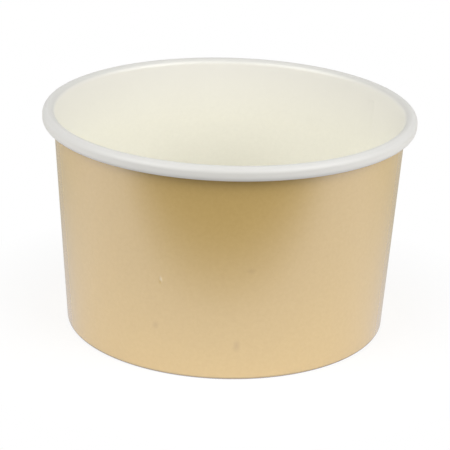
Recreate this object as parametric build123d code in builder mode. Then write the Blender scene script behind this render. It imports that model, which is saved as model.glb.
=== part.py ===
"""Paper ice cream tub.

A tapered wall of coated board, lapped at one side seam, with its top edge rolled into a rim and its
bottom edge folded up as a hem. The hem grips the turned-down skirt of a separate base disc.
"""
import os
from math import asin, atan2, cos, degrees, hypot, radians, sin, tan

from build123d import *

# The whole tub, in millimetres: outside of the rolled rim, outside of the foot, and height
rim_diameter = 90.0
foot_diameter = 78.2
tub_height = 53.7

# The two boards, and the melted coating between layers that are sealed together
wall_board = 0.40
base_board = 0.35
seal_film = 0.02

# The rolled rim: its section from side to side and from top to bottom, how far its underside turns
# back into the roll, and the room between that tucked edge and the wall
roll_width = 3.0
roll_height = 3.4
roll_tuck_angle = 215.0
roll_gap = 0.12

# The foot: the bend of the fold at the middle of the board, and the hem that stands up inside it
fold_radius = 0.27
hem_height = 5.6

# The base disc: the underside of its panel above the floor, the bend into its skirt at the middle of
# the board, and the room between the skirt's cut edge and the fold
base_lift = 6.8
base_bend_radius = 0.7
skirt_end_gap = 0.15

# The side seam: direction of its outer cut edge, width of the lap, how proud the pressed lap stands,
# length of the slope where the sheet climbs over itself, and room at the lap's ends
seam_angle = 20.0
lap_width = 7.0
lap_step = 0.26
lap_slope = 2.6
lap_end_gap = 0.5

rim_radius = rim_diameter / 2
foot_radius = foot_diameter / 2

# The roll is one arc over the top, a straight flank, and a tighter arc that turns back inside
roll_radius = (roll_width - wall_board) / 2
tuck_radius = roll_radius - (wall_board + roll_gap) / 2
roll_flank = roll_height - wall_board - roll_radius - tuck_radius
roll_center = Vector(rim_radius - wall_board / 2 - roll_radius, tub_height - wall_board / 2 - roll_radius)

# The wall leans so that its outer face runs from the foot to the inner side of the roll
lean_run = roll_center.X - foot_radius
lean_length = hypot(lean_run, roll_center.Y)
wall_lean = atan2(lean_run, roll_center.Y) - asin((roll_radius - wall_board / 2) / lean_length)
wall_up = Vector(sin(wall_lean), cos(wall_lean))
wall_out = Vector(cos(wall_lean), -sin(wall_lean))


def layer_radius(depth, height):
    """Radius, at a height, of the layer that lies a given depth inside the wall's outer face."""
    return foot_radius + height * tan(wall_lean) - depth / cos(wall_lean)


def layer_point(depth, height):
    """Point of such a layer in the tub's half section."""
    return layer_radius(depth, height), height


def polar_point(radius, angle):
    """Point of a level section, by radius and direction in degrees."""
    return radius * cos(radians(angle)), radius * sin(radians(angle))


# Depths of the middle of each layer in the foot: wall, then skirt of the base, then hem
wall_depth = wall_board / 2
skirt_depth = wall_board + seal_film + base_board / 2
hem_depth = wall_board + seal_film + base_board + seal_film + wall_board / 2

# Side wall: one strip of board from the hem's edge, round the foot and up the wall to the rolled rim
roll_start = roll_center - wall_out * roll_radius

with BuildPart() as side_wall:
    with BuildSketch(Plane.XZ):
        with BuildLine():
            FilletPolyline(
                layer_point(hem_depth, hem_height),
                layer_point(hem_depth, wall_board / 2),
                layer_point(wall_depth, wall_board / 2),
                roll_start,
                radius=fold_radius,
            )
            over = JernArc(roll_start, wall_up, roll_radius, degrees(wall_lean) - 180)
            flank = Line(over @ 1, over @ 1 - Vector(0, roll_flank))
            JernArc(flank @ 1, flank % 1, tuck_radius, -roll_tuck_angle)
        trace(line_width=wall_board)
    revolve(axis=Axis.Z)

    # Lap of the side seam: the outer end of the sheet lies over the inner end and slopes back to the
    # wall, and inside the tub the inner end leaves a step of the same height
    lap_angle = degrees(lap_width / foot_radius)
    slope_angle = degrees(lap_slope / foot_radius)
    step_angle = seam_angle + lap_angle
    slope_end_angle = step_angle + slope_angle
    lap_bottom = wall_board + lap_end_gap
    lap_top = tub_height - roll_height - lap_end_gap
    inner_lap_bottom = base_lift + base_board + lap_end_gap

    for level in (lap_bottom, lap_top):
        core_radius = layer_radius(wall_depth, level)
        outer_radius = layer_radius(0, level)
        lap_radius = outer_radius + lap_step
        with BuildSketch(Plane.XY.offset(level)):
            with BuildLine():
                CenterArc((0, 0), lap_radius, seam_angle, lap_angle)
                Polyline(
                    polar_point(lap_radius, step_angle),
                    polar_point(outer_radius, slope_end_angle),
                    polar_point(core_radius, slope_end_angle),
                )
                CenterArc((0, 0), core_radius, seam_angle, lap_angle + slope_angle)
                Line(polar_point(core_radius, seam_angle), polar_point(lap_radius, seam_angle))
            make_face()
    loft(ruled=True)

    for level in (inner_lap_bottom, lap_top):
        inner_radius = layer_radius(wall_board, level)
        clear_radius = inner_radius - lap_step
        with BuildSketch(Plane.XY.offset(level)):
            with BuildLine():
                Polyline(
                    polar_point(clear_radius, step_angle),
                    polar_point(inner_radius + lap_step, step_angle),
                    polar_point(inner_radius, slope_end_angle),
                    polar_point(clear_radius, slope_end_angle),
                    close=True,
                )
            make_face()
    loft(ruled=True, mode=Mode.SUBTRACT)

# Base disc: a flat panel whose edge is turned down as a skirt, between the wall and the hem
panel_height = base_lift + base_board / 2
skirt_end = wall_board + skirt_end_gap

with BuildPart() as base_disc:
    with BuildSketch(Plane.XZ):
        with BuildLine():
            FilletPolyline(
                (0, panel_height),
                layer_point(skirt_depth, panel_height),
                layer_point(skirt_depth, skirt_end),
                radius=base_bend_radius,
            )
        trace(line_width=base_board)
    revolve(axis=Axis.Z)

os.makedirs("parts", exist_ok=True)
side_wall.part.label = "side_wall"
export_step(side_wall.part, "parts/side_wall.step")
base_disc.part.label = "base_disc"
export_step(base_disc.part, "parts/base_disc.step")
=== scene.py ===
import math

import bmesh
import bpy
from mathutils import Matrix, Vector


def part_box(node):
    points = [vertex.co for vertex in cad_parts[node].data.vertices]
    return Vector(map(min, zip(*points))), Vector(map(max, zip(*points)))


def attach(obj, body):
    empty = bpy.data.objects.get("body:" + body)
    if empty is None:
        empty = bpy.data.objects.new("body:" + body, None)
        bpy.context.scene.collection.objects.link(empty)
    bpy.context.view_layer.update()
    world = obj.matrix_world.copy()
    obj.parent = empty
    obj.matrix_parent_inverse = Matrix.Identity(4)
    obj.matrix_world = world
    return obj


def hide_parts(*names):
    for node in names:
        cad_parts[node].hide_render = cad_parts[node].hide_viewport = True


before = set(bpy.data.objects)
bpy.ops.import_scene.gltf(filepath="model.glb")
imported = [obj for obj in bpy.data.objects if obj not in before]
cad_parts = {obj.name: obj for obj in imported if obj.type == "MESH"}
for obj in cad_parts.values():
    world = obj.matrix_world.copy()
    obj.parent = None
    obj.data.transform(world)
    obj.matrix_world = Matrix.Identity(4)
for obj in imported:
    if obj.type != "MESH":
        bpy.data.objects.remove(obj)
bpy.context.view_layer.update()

# Side wall
# One fan of paperboard, printed tan outside and coated white inside, wrapped into a cone and sealed at a
# lap. Its top edge is curled outwards into the rim, so that the white side shows there, and its bottom
# edge is folded up inside as a hem that grips the base.
wall_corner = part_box("side_wall")[1]
rim_radius = wall_corner.y
tub_height = wall_corner.z
foot_radius = 0.0391
wall_board = 0.00040
base_board = 0.00035
seal_film = 0.00002
hem_height = 0.0056
fold_radius = 0.00027
roll_width = 0.0030
roll_height = 0.0034
roll_tuck = math.radians(215)
roll_gap = 0.00012

# The roll is one arc over the top, a straight flank and a tighter arc that turns back inside, and the wall
# leans so that its outer face runs from the foot to the inner side of the roll
roll_radius = (roll_width - wall_board) / 2
tuck_radius = roll_radius - (wall_board + roll_gap) / 2
roll_flank = roll_height - wall_board - roll_radius - tuck_radius
roll_center = Vector((rim_radius - wall_board / 2 - roll_radius, tub_height - wall_board / 2 - roll_radius))
lean_run = roll_center.x - foot_radius
lean_length = math.hypot(lean_run, roll_center.y)
wall_lean = math.atan2(lean_run, roll_center.y) - math.asin((roll_radius - wall_board / 2) / lean_length)
wall_up = Vector((math.sin(wall_lean), math.cos(wall_lean)))
wall_out = Vector((math.cos(wall_lean), -math.sin(wall_lean)))
wall_depth = wall_board / 2
hem_depth = wall_board * 1.5 + base_board + seal_film * 2

# The lap of the side seam, in whole degrees so that it falls on the columns of the spun mesh
columns = 360
seam_angle = 20
lap_end_angle = 30
slope_end_angle = 34
lap_step = 0.00026
lap_gap = 0.0005
lap_bottom = 0.0009
inner_lap_bottom = 0.00765
lap_top = tub_height - roll_height - lap_gap

# Pressed ridges on the hem, one on every second column
ridge_bottom = 0.0013
ridge_top = 0.0049
ridge_height = 0.00006

# A nick in the print, left of the middle of the side that the photo shows, and the patch divided for it
nick_angle = -111.2
nick_height = 0.0240
nick_reach = Vector((0.00030, 0.00065))
nick_depth = 0.00014
patch_angle = 2
patch_height = 0.0018
patch_cuts = 10


def layer_point(depth, height):
    """Point in the half section, at a depth inside the wall's outer face and at a height."""
    return Vector((foot_radius + height * math.tan(wall_lean) - depth / math.cos(wall_lean), height))


def run_to(section, end, rows):
    """Carries the sheet's section straight on to an end point."""
    start = section[-1]
    section.extend(start.lerp(end, row / rows) for row in range(1, rows + 1))


def bend_on(section, heading, radius, turn, rows):
    """Bends the sheet's section on from its last point, which it leaves along a heading."""
    start = section[-1]
    center = start + Vector((-heading.y, heading.x)) * math.copysign(radius, turn)
    for row in range(1, rows + 1):
        section.append(center + Matrix.Rotation(turn * row / rows, 2) @ (start - center))


level = Vector((1, 0))
upright = Vector((0, 1))
right_angle = math.pi / 2
hem_turn = right_angle + wall_lean
wall_turn = right_angle - wall_lean
hem_fold = layer_point(hem_depth, wall_board / 2) + wall_up * fold_radius * math.tan(hem_turn / 2)
foot_edge = layer_point(wall_depth, wall_board / 2)
fold_rows = 6
wall_rows = 14
roll_rows = 22

wall_section = [layer_point(hem_depth, hem_height)]
run_to(wall_section, layer_point(hem_depth, ridge_top), rows=1)
run_to(wall_section, layer_point(hem_depth, ridge_bottom), rows=3)
run_to(wall_section, hem_fold, rows=1)
bend_on(wall_section, -wall_up, fold_radius, hem_turn, fold_rows)
run_to(wall_section, foot_edge - level * fold_radius * math.tan(wall_turn / 2), rows=1)
bend_on(wall_section, level, fold_radius, wall_turn, fold_rows)
run_to(wall_section, layer_point(wall_depth, lap_bottom), rows=1)
run_to(wall_section, layer_point(wall_depth, inner_lap_bottom), rows=3)
run_to(wall_section, layer_point(wall_depth, lap_top), wall_rows)
run_to(wall_section, roll_center - wall_out * roll_radius, rows=2)
bend_on(wall_section, wall_up, roll_radius, wall_lean - math.pi, roll_rows)
run_to(wall_section, wall_section[-1] - upright * roll_flank, rows=2)
bend_on(wall_section, -upright, tuck_radius, -roll_tuck, roll_rows)


def linear(hex_colour):
    """An sRGB hex colour as linear red, green and blue, with full alpha."""
    shares = [int(hex_colour[start:start + 2], 16) / 255 for start in (1, 3, 5)]
    return [c / 12.92 if c <= 0.04045 else ((c + 0.055) / 1.055) ** 2.4 for c in shares] + [1.0]


def new_material(name):
    """An empty node material, with its tree."""
    material = bpy.data.materials.new(name)
    material.use_nodes = True
    material.node_tree.nodes.clear()
    return material, material.node_tree


def add_node(tree, kind, settings=None, inputs=None):
    """Adds a node with its settings, and gives each named input a value or another node's output."""
    node = tree.nodes.new(kind)
    for name, value in (settings or {}).items():
        setattr(node, name, value)
    for name, value in (inputs or {}).items():
        if isinstance(value, bpy.types.NodeSocket):
            tree.links.new(value, node.inputs[name])
        else:
            node.inputs[name].default_value = value
    return node


# Bleached paperboard, offset printed tan and satin varnished: an even tan with the faintest fibre mottle,
# and a broad soft sheen that whitens where the wall turns away or mirrors the table. A painted highlight
# on the nick and three spots of dirt lie on it (place, reach across and upwards, colour and strength), and a
# painted dark line of contact shadow runs along the foot.
printed_board, tree = new_material("printed_paperboard_satin_varnish")
fibre_length = 0.0009
cockle_length = 0.007
noise_low = 0.3
noise_high = 0.7
marks = (
    # The first mark is a painted highlight on the nick; the other three are dirt
    ((-0.01468, -0.03788, 0.02404), 0.0005, 0.0010, "#F0DDB0", 0.85),
    ((-0.01574, -0.03658, 0.01223), 0.0013, 0.0013, "#7A5F30", 0.16),
    ((0.00298, -0.03948, 0.00883), 0.0013, 0.0022, "#7A6038", 0.16),
    ((0.00589, -0.04045, 0.02772), 0.0016, 0.0010, "#7A5F28", 0.12),
)
# Painted contact shadow: the print is darkened along the fold of the foot
foot_shade_top = 0.0007
foot_shade_bottom = 0.0002
foot_shade_strength = 0.85
place = add_node(tree, "ShaderNodeTexCoord").outputs["Object"]
mottle = add_node(tree, "ShaderNodeTexNoise", inputs={
    "Vector": place, "Scale": 1 / fibre_length, "Detail": 3.0, "Roughness": 0.6})
cockle = add_node(tree, "ShaderNodeTexNoise", inputs={
    "Vector": place, "Scale": 1 / cockle_length, "Detail": 2.0, "Roughness": 0.5})
ink = add_node(tree, "ShaderNodeValToRGB", inputs={"Fac": mottle.outputs["Fac"]})
ink.color_ramp.elements[0].position = noise_low
ink.color_ramp.elements[0].color = linear("#D7B56E")
ink.color_ramp.elements[1].position = noise_high
ink.color_ramp.elements[1].color = linear("#DBB972")
grain = add_node(tree, "ShaderNodeBump", inputs={
    "Height": mottle.outputs["Fac"], "Strength": 0.12, "Distance": 0.00002})
skin = add_node(tree, "ShaderNodeBump", inputs={
    "Height": cockle.outputs["Fac"], "Strength": 0.3, "Distance": 0.0001,
    "Normal": grain.outputs["Normal"]})
colour = ink.outputs["Color"]
for spot, across, upwards, stain, strength in marks:
    scale = Vector((1 / across, 1 / across, 1 / upwards))
    near = add_node(tree, "ShaderNodeMapping", inputs={
        "Vector": place, "Location": -Vector(spot) * scale, "Scale": scale})
    away = add_node(tree, "ShaderNodeVectorMath", settings={"operation": "LENGTH"}, inputs={
        0: near.outputs["Vector"]})
    cover = add_node(tree, "ShaderNodeMapRange", settings={"interpolation_type": "SMOOTHSTEP"}, inputs={
        "Value": away.outputs["Value"], "From Min": 1.0, "From Max": 0.0, "To Max": strength})
    stained = add_node(tree, "ShaderNodeMix", settings={"data_type": "RGBA"}, inputs={
        "Factor": cover.outputs["Result"], 6: colour, 7: linear(stain)})
    colour = stained.outputs[2]
height = add_node(tree, "ShaderNodeSeparateXYZ", inputs={"Vector": place}).outputs["Z"]
# Painted shadow: a dark line along the foot that stands for the contact shadow
foot_shade = add_node(tree, "ShaderNodeMapRange", inputs={
    "Value": height, "From Min": foot_shade_top, "From Max": foot_shade_bottom, "To Max": foot_shade_strength})
foot_shaded = add_node(tree, "ShaderNodeMix", settings={"data_type": "RGBA"}, inputs={
    "Factor": foot_shade.outputs["Result"], 6: colour, 7: linear("#6E6350")})
shader = add_node(tree, "ShaderNodeBsdfPrincipled", inputs={
    "Base Color": foot_shaded.outputs[2], "Roughness": 0.24, "IOR": 2.5, "Coat Weight": 1.0,
    "Coat Roughness": 0.20, "Coat IOR": 1.7, "Normal": skin.outputs["Normal"]})
add_node(tree, "ShaderNodeOutputMaterial", inputs={"Surface": shader.outputs["BSDF"]})

# Bleached paperboard with a thin film of polyethylene: warm white, smooth and softly glossy, with the
# board's fibres just felt under the film. Towards the rim it is painted a little greyer and darker, a
# painted shade; the roll is duller, and painted greyer as shade: lightest on its flank, darker on its crown
# and darkest, as a thin painted dark line, on the shoulder that turns to the inside.
white_board, tree = new_material("coated_white_paperboard")
upper_shade_start = 0.038
upper_shade_end = 0.051
roll_inside = rim_radius - roll_width
roll_turned = rim_radius - roll_width * 0.85
shoulder_inner = rim_radius - roll_width * 0.48
shoulder_outer = rim_radius - roll_width * 0.40
flank_top = tub_height - roll_height * 0.5
crown_bottom = tub_height - roll_height * 0.1
film_roughness = 0.36
roll_roughness = 0.48
place = add_node(tree, "ShaderNodeTexCoord").outputs["Object"]
mottle = add_node(tree, "ShaderNodeTexNoise", inputs={
    "Vector": place, "Scale": 1 / fibre_length, "Detail": 3.0, "Roughness": 0.6})
pulp = add_node(tree, "ShaderNodeValToRGB", inputs={"Fac": mottle.outputs["Fac"]})
pulp.color_ramp.elements[0].position = noise_low
pulp.color_ramp.elements[0].color = linear("#EEECE0")
pulp.color_ramp.elements[1].position = noise_high
pulp.color_ramp.elements[1].color = linear("#F1EFE3")
level_place = add_node(tree, "ShaderNodeVectorMath", settings={"operation": "MULTIPLY"}, inputs={
    0: place, 1: (1, 1, 0)})
axis_reach = add_node(tree, "ShaderNodeVectorMath", settings={"operation": "LENGTH"}, inputs={
    0: level_place.outputs["Vector"]}).outputs["Value"]
height = add_node(tree, "ShaderNodeSeparateXYZ", inputs={"Vector": place}).outputs["Z"]
# Painted shade: the upper part of the inside is painted greyer and darker
upper_shade = add_node(tree, "ShaderNodeMapRange", inputs={
    "Value": height, "From Min": upper_shade_start, "From Max": upper_shade_end})
upper_shaded_pulp = add_node(tree, "ShaderNodeMix", settings={"data_type": "RGBA"}, inputs={
    "Factor": upper_shade.outputs["Result"], 6: pulp.outputs["Color"], 7: linear("#E8E6DF")})
# Painted shade: the roll is painted greyer on its crown than on its flank, and darkest on its inner shoulder
crown = add_node(tree, "ShaderNodeMapRange", inputs={
    "Value": height, "From Min": flank_top, "From Max": crown_bottom})
crown_shaded = add_node(tree, "ShaderNodeMix", settings={"data_type": "RGBA"}, inputs={
    "Factor": crown.outputs["Result"], 6: linear("#E2E0DA"), 7: linear("#D5D4D0")})
shoulder = add_node(tree, "ShaderNodeMapRange", inputs={
    "Value": axis_reach, "From Min": shoulder_outer, "From Max": shoulder_inner})
shoulder_shaded = add_node(tree, "ShaderNodeMix", settings={"data_type": "RGBA"}, inputs={
    "Factor": shoulder.outputs["Result"], 6: crown_shaded.outputs[2], 7: linear("#D1D0CB")})
curled = add_node(tree, "ShaderNodeMapRange", inputs={
    "Value": axis_reach, "From Min": roll_inside, "From Max": roll_turned})
film = add_node(tree, "ShaderNodeMix", settings={"data_type": "RGBA"}, inputs={
    "Factor": curled.outputs["Result"], 6: upper_shaded_pulp.outputs[2], 7: shoulder_shaded.outputs[2]})
dulled = add_node(tree, "ShaderNodeMapRange", inputs={
    "Value": curled.outputs["Result"], "To Min": film_roughness, "To Max": roll_roughness})
grain = add_node(tree, "ShaderNodeBump", inputs={
    "Height": mottle.outputs["Fac"], "Strength": 0.2, "Distance": 0.00002})
shader = add_node(tree, "ShaderNodeBsdfPrincipled", inputs={
    "Base Color": film.outputs[2], "Roughness": dulled.outputs["Result"], "IOR": 1.65,
    "Normal": grain.outputs["Normal"]})
add_node(tree, "ShaderNodeOutputMaterial", inputs={"Surface": shader.outputs["BSDF"]})

# Cut paperboard: the bare fibres of the core, matt and a little darker than the coated face.
cut_board, tree = new_material("cut_paperboard_edge")
strand_length = 0.0004
place = add_node(tree, "ShaderNodeTexCoord").outputs["Object"]
strands = add_node(tree, "ShaderNodeTexNoise", inputs={
    "Vector": place, "Scale": 1 / strand_length, "Detail": 4.0, "Roughness": 0.7})
core = add_node(tree, "ShaderNodeValToRGB", inputs={"Fac": strands.outputs["Fac"]})
core.color_ramp.elements[0].position = noise_low
core.color_ramp.elements[0].color = linear("#CFC6B2")
core.color_ramp.elements[1].position = noise_high
core.color_ramp.elements[1].color = linear("#E4DED0")
shader = add_node(tree, "ShaderNodeBsdfPrincipled", inputs={
    "Base Color": core.outputs["Color"], "Roughness": 0.9, "IOR": 1.45})
add_node(tree, "ShaderNodeOutputMaterial", inputs={"Surface": shader.outputs["BSDF"]})

merge_reach = 0.000005
smooth_angle = math.radians(35)
printed, white, cut = 0, 1, 2


def spun_sheet(name, section, thickness, faces_out, materials):
    """Draws a sheet's half section by extruding one vertex, spins it round the tub and thickens it.

    faces_out is the direction, in the half section, of the side that gets the first material; the other
    side gets the second and the cut edges the third.
    """
    bpy.ops.object.select_all(action="DESELECT")
    bpy.ops.mesh.primitive_plane_add(size=thickness)
    sheet = bpy.context.object
    sheet.name = name
    sheet.data.name = name
    for material in materials:
        sheet.data.materials.append(material)
    bpy.ops.object.mode_set(mode="EDIT")
    bpy.ops.mesh.select_mode(type="VERT")
    bpy.ops.mesh.select_all(action="SELECT")
    bpy.ops.mesh.merge(type="CENTER")
    bpy.ops.transform.translate(value=(section[0].x, 0, section[0].y))
    for here, there in zip(section, section[1:]):
        step = there - here
        bpy.ops.mesh.extrude_region_move(TRANSFORM_OT_translate={"value": (step.x, 0, step.y)})
    bpy.ops.mesh.select_all(action="SELECT")
    bpy.ops.mesh.spin(steps=columns, angle=math.tau, center=(0, 0, 0), axis=(0, 0, 1))
    bpy.ops.mesh.select_all(action="SELECT")
    bpy.ops.mesh.remove_doubles(threshold=merge_reach)
    bpy.ops.mesh.normals_make_consistent(inside=False)
    shell = bmesh.from_edit_mesh(sheet.data)
    outward = 0.0
    for face in shell.faces:
        radial = face.calc_center_median().xy.normalized()
        facing = Vector((face.normal.xy.dot(radial), face.normal.z))
        outward += facing.dot(faces_out) * face.calc_area()
    if outward < 0:
        bpy.ops.mesh.flip_normals()
    bpy.ops.object.mode_set(mode="OBJECT")
    board = sheet.modifiers.new("board", "SOLIDIFY")
    board.thickness = thickness
    board.offset = 0
    board.use_even_offset = True
    board.material_offset = white
    board.material_offset_rim = cut
    bpy.ops.object.modifier_apply(modifier=board.name)
    return sheet


def angle_of(point):
    """Direction of a point round the tub's axis, in degrees."""
    return math.degrees(math.atan2(point.y, point.x))


def select_faces(sheet, wanted):
    """Selects, in edit mode, the faces whose middle, normal and material pass a test."""
    bpy.ops.mesh.select_mode(type="FACE")
    bpy.ops.mesh.select_all(action="DESELECT")
    shell = bmesh.from_edit_mesh(sheet.data)
    for face in shell.faces:
        face.select_set(wanted(face.calc_center_median(), face.normal, face.material_index))
    bmesh.update_edit_mesh(sheet.data)


def push_out(sheet, rise):
    """Moves the selected vertices away from the axis, each by the rise that is given for its place."""
    shell = bmesh.from_edit_mesh(sheet.data)
    for vertex in shell.verts:
        if vertex.select:
            vertex.co.xy += vertex.co.xy.normalized() * rise(vertex.co)
    bmesh.update_edit_mesh(sheet.data)
    bpy.ops.mesh.select_all(action="SELECT")
    bpy.ops.mesh.remove_doubles(threshold=merge_reach)


def lap_rise(point):
    """Height of the lap's step: full as far as the lap's end, then sloping back to nothing."""
    return lap_step * min(1.0, (slope_end_angle - angle_of(point)) / (slope_end_angle - lap_end_angle))


def bare_cut(sheet, angle):
    """Gives the upright faces at a cut end of the sheet, which face along the seam, the cut board."""
    near_angle = 0.1
    turned_aside = 0.3
    select_faces(sheet, lambda middle, normal, material: (
        abs(angle_of(middle) - angle) < near_angle and abs(normal.z) < turned_aside
        and abs(normal.xy.dot(middle.xy.normalized())) < turned_aside))
    sheet.active_material_index = cut
    bpy.ops.object.material_slot_assign()


side_wall = spun_sheet("side_wall_board", wall_section, wall_board, level,
                       (printed_board, white_board, cut_board))

# The outer end of the sheet lies over the inner end at the seam and slopes back to the wall; inside, the
# inner end leaves a step of the same height
bpy.ops.object.mode_set(mode="EDIT")
select_faces(side_wall, lambda middle, normal, material: (
    material == printed and normal.xy.dot(middle.xy) > 0 and lap_bottom < middle.z < lap_top
    and seam_angle < angle_of(middle) < slope_end_angle))
bpy.ops.mesh.extrude_region_move()
push_out(side_wall, lap_rise)
bare_cut(side_wall, seam_angle)
select_faces(side_wall, lambda middle, normal, material: (
    material == white and normal.xy.dot(middle.xy) < 0 and inner_lap_bottom < middle.z < lap_top
    and lap_end_angle < angle_of(middle) < slope_end_angle))
bpy.ops.mesh.extrude_region_move()
push_out(side_wall, lap_rise)
bare_cut(side_wall, lap_end_angle)

# Every second column of the hem is pressed into a ridge
select_faces(side_wall, lambda middle, normal, material: (
    material == printed and normal.xy.dot(middle.xy) < 0 and ridge_bottom < middle.z < ridge_top
    and middle.xy.length < foot_radius - wall_board and int(angle_of(middle) % 360) % 2 == 0))
bpy.ops.mesh.extrude_region_move()
push_out(side_wall, lambda point: -ridge_height)

# The nick is pressed into a few faces that are divided finely for it
select_faces(side_wall, lambda middle, normal, material: (
    material == printed and normal.xy.dot(middle.xy) > 0 and abs(middle.z - nick_height) < patch_height
    and abs(angle_of(middle) - nick_angle) < patch_angle))
bpy.ops.mesh.subdivide(number_cuts=patch_cuts)


def nick_rise(point):
    """Depth of the nick at a point: a smooth hollow, longer upwards than across."""
    across = math.radians(angle_of(point) - nick_angle) * foot_radius / nick_reach.x
    upwards = (point.z - nick_height) / nick_reach.y
    return -nick_depth * math.exp(-across * across - upwards * upwards)


push_out(side_wall, nick_rise)
bpy.ops.object.mode_set(mode="OBJECT")
bpy.ops.object.shade_smooth_by_angle(angle=smooth_angle)
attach(side_wall, "root")
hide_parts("side_wall")

# Base disc
# A round of plain board, coated on its upper side, whose edge is turned down as a skirt and sealed
# between the wall and the hem, so that the floor of the tub stands clear of the table.
base_lift = 0.0068
base_bend_radius = 0.0007
skirt_end = 0.00055
skirt_depth = wall_board + seal_film + base_board / 2
panel_height = base_lift + base_board / 2
panel_edge = layer_point(skirt_depth, panel_height)
base_turn = right_angle + wall_lean

base_section = [upright * panel_height]
run_to(base_section, panel_edge - level * base_bend_radius * math.tan(base_turn / 2), rows=8)
bend_on(base_section, level, base_bend_radius, -base_turn, rows=10)
run_to(base_section, layer_point(skirt_depth, skirt_end), rows=3)

# Plain bleached paperboard, uncoated: a little greyer and duller than the coated side, with short fibres
# that show as a fine cloudy mottle.
plain_board, tree = new_material("uncoated_paperboard")
cloud_size = 0.0015
place = add_node(tree, "ShaderNodeTexCoord").outputs["Object"]
clouds = add_node(tree, "ShaderNodeTexNoise", inputs={
    "Vector": place, "Scale": 1 / cloud_size, "Detail": 5.0, "Roughness": 0.7})
pulp = add_node(tree, "ShaderNodeValToRGB", inputs={"Fac": clouds.outputs["Fac"]})
pulp.color_ramp.elements[0].position = noise_low
pulp.color_ramp.elements[0].color = linear("#DFDBCF")
pulp.color_ramp.elements[1].position = noise_high
pulp.color_ramp.elements[1].color = linear("#EAE7DD")
grain = add_node(tree, "ShaderNodeBump", inputs={
    "Height": clouds.outputs["Fac"], "Strength": 0.4, "Distance": 0.00004})
shader = add_node(tree, "ShaderNodeBsdfPrincipled", inputs={
    "Base Color": pulp.outputs["Color"], "Roughness": 0.75, "IOR": 1.45,
    "Normal": grain.outputs["Normal"]})
add_node(tree, "ShaderNodeOutputMaterial", inputs={"Surface": shader.outputs["BSDF"]})

base_disc = spun_sheet("base_disc_board", base_section, base_board, upright,
                       (white_board, plain_board, cut_board))
bpy.ops.object.shade_smooth_by_angle(angle=smooth_angle)
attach(base_disc, "root")
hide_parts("base_disc")

# Table
# A sheet of white paper under the tub. Before the tub it is painted dark, with a soft edge: a painted shade
# that stands for the dim room on the camera's side, in the light it bounces and in what the varnish mirrors.
# Behind the tub what the varnish mirrors is painted darker, a painted shadow of the tub. The camera sees
# plain white with a faint shadow round the foot.
table_size = 4.0
dark_front_edge = -0.089
dark_front_fade = 0.020
dark_front_turn = math.radians(2)
shade_start = -0.01
shade_end = 0.065
shadow_start = 0.045
shadow_end = 0.075
glow_at_foot = 0.8
bpy.ops.object.select_all(action="DESELECT")
bpy.ops.mesh.primitive_plane_add(size=table_size)
table = bpy.context.object
table.name = "table"

# White paper, matt: its bounce of light and its mirror image in the varnish, both with painted shade, and
# the camera's white
table_paper, tree = new_material("white_table_paper")
light_path = add_node(tree, "ShaderNodeLightPath")
mirrored = add_node(tree, "ShaderNodeMath", settings={"operation": "MAXIMUM"}, inputs={
    0: light_path.outputs["Is Glossy Ray"], 1: light_path.outputs["Is Transmission Ray"]})
shown = add_node(tree, "ShaderNodeMath", settings={"operation": "MAXIMUM"}, inputs={
    0: light_path.outputs["Is Camera Ray"], 1: mirrored.outputs["Value"]})
place = add_node(tree, "ShaderNodeTexCoord").outputs["Object"]
turned = add_node(tree, "ShaderNodeMapping", inputs={"Vector": place, "Rotation": (0, 0, dark_front_turn)})
backwards = add_node(tree, "ShaderNodeSeparateXYZ", inputs={"Vector": turned.outputs["Vector"]}).outputs["Y"]
dark_front_ramp = add_node(tree, "ShaderNodeMapRange", inputs={
    "Value": backwards, "From Min": dark_front_edge - dark_front_fade, "From Max": dark_front_edge + dark_front_fade})
# Painted shade: the bounced colour and the mirrored colour are dark before the tub
paper = add_node(tree, "ShaderNodeMix", settings={"data_type": "RGBA"}, inputs={
    "Factor": dark_front_ramp.outputs["Result"], 6: linear("#505050"), 7: linear("#F1F3FA")})
sheen = add_node(tree, "ShaderNodeMix", settings={"data_type": "RGBA"}, inputs={
    "Factor": dark_front_ramp.outputs["Result"], 6: linear("#202020"), 7: linear("#D4D4DA")})
# Painted shadow: behind the tub the mirrored colour is darker, standing for the tub's shade
behind = add_node(tree, "ShaderNodeMapRange", inputs={
    "Value": backwards, "From Min": shade_start, "From Max": shade_end})
shade = add_node(tree, "ShaderNodeMix", settings={"data_type": "RGBA"}, inputs={
    "Factor": behind.outputs["Result"], 6: sheen.outputs[2], 7: linear("#BDB9B0")})
pale = add_node(tree, "ShaderNodeMix", settings={"data_type": "RGBA"}, inputs={
    "Factor": light_path.outputs["Is Camera Ray"], 6: shade.outputs[2], 7: linear("#FFFFFF")})
lit = add_node(tree, "ShaderNodeBsdfDiffuse", inputs={"Color": paper.outputs[2]})
shaded = add_node(tree, "ShaderNodeBsdfDiffuse", inputs={"Color": pale.outputs[2]})
glow = add_node(tree, "ShaderNodeEmission", inputs={"Color": pale.outputs[2], "Strength": 1.0})
away = add_node(tree, "ShaderNodeVectorMath", settings={"operation": "LENGTH"}, inputs={0: place})
clear = add_node(tree, "ShaderNodeMapRange", inputs={
    "Value": away.outputs["Value"], "From Min": shadow_start, "From Max": shadow_end,
    "To Min": glow_at_foot})
bright = add_node(tree, "ShaderNodeMixShader", inputs={
    0: clear.outputs["Result"], 1: shaded.outputs["BSDF"], 2: glow.outputs["Emission"]})
surface = add_node(tree, "ShaderNodeMixShader", inputs={
    0: shown.outputs["Value"], 1: lit.outputs["BSDF"], 2: bright.outputs["Shader"]})
add_node(tree, "ShaderNodeOutputMaterial", inputs={"Surface": surface.outputs["Shader"]})
table.data.materials.append(table_paper)

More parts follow.
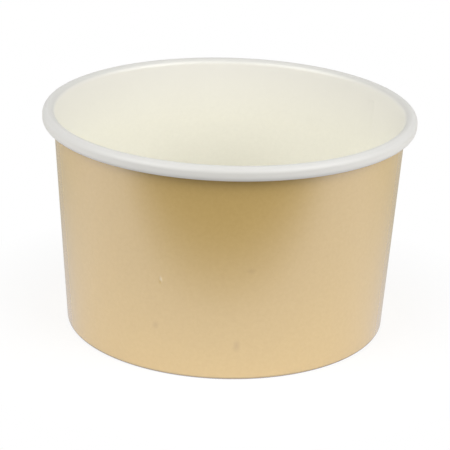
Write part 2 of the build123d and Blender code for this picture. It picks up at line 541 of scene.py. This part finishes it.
# Studio light
# Four large soft lamps, two on each side of the camera, in a room that is softly lit all round. The camera
# and what is mirrored see a white backdrop in place of the room.
room_light = 0.39
backdrop_light = 1.0
lamp_distance = 0.9
lamp_width = 0.7
lamp_height = 0.6
studio = bpy.data.worlds.new("studio_room")
bpy.context.scene.world = studio
studio.use_nodes = True
tree = studio.node_tree
tree.nodes.clear()
light_path = add_node(tree, "ShaderNodeLightPath")
mirrored = add_node(tree, "ShaderNodeMath", settings={"operation": "MAXIMUM"}, inputs={
    0: light_path.outputs["Is Glossy Ray"], 1: light_path.outputs["Is Transmission Ray"]})
shown = add_node(tree, "ShaderNodeMath", settings={"operation": "MAXIMUM"}, inputs={
    0: light_path.outputs["Is Camera Ray"], 1: mirrored.outputs["Value"]})
room = add_node(tree, "ShaderNodeBackground", inputs={
    "Color": linear("#FFFFFF"), "Strength": room_light})
backdrop = add_node(tree, "ShaderNodeBackground", inputs={
    "Color": linear("#FFFFFF"), "Strength": backdrop_light})
around = add_node(tree, "ShaderNodeMixShader", inputs={
    0: shown.outputs["Value"], 1: room.outputs["Background"], 2: backdrop.outputs["Background"]})
add_node(tree, "ShaderNodeOutputWorld", inputs={"Surface": around.outputs["Shader"]})


def add_softbox(name, direction, elevation, radiance):
    """A soft lamp that faces the tub, placed by its degrees round from the camera and above the table."""
    turn = Matrix.Rotation(math.radians(direction), 3, "Z")
    turn = turn @ Matrix.Rotation(right_angle - math.radians(elevation), 3, "X")
    bpy.ops.object.select_all(action="DESELECT")
    bpy.ops.object.light_add(
        type="AREA", location=turn @ Vector((0, 0, lamp_distance)), rotation=turn.to_euler())
    softbox = bpy.context.object
    softbox.name = name
    softbox.data.shape = "RECTANGLE"
    softbox.data.size = lamp_width
    softbox.data.size_y = lamp_height
    softbox.data.energy = radiance * math.pi * lamp_width * lamp_height


add_softbox("softbox_right", direction=66, elevation=30, radiance=1.75)
add_softbox("softbox_left", direction=-66, elevation=30, radiance=0.78)
add_softbox("softbox_high_right", direction=52, elevation=38, radiance=2.25)
add_softbox("softbox_high_left", direction=-52, elevation=38, radiance=2.80)

# Camera
# A long lens that looks down over the rim, rolled slightly as the photograph is.
aim = Vector((-0.00043, 0, 0.02333))
camera_elevation = math.radians(20.84)
camera_roll = math.radians(1.64)
camera_distance = 0.4558
camera_side = Vector((0, -math.cos(camera_elevation), math.sin(camera_elevation)))
camera_tilt = Matrix.Rotation(right_angle - camera_elevation, 3, "X")
bpy.ops.object.camera_add(
    location=aim + camera_side * camera_distance,
    rotation=(camera_tilt @ Matrix.Rotation(camera_roll, 3, "Z")).to_euler())
camera = bpy.context.object
camera.data.sensor_width = 36.0
camera.data.lens = 148.09
bpy.context.scene.camera = camera
bpy.context.scene.view_settings.view_transform = "Standard"
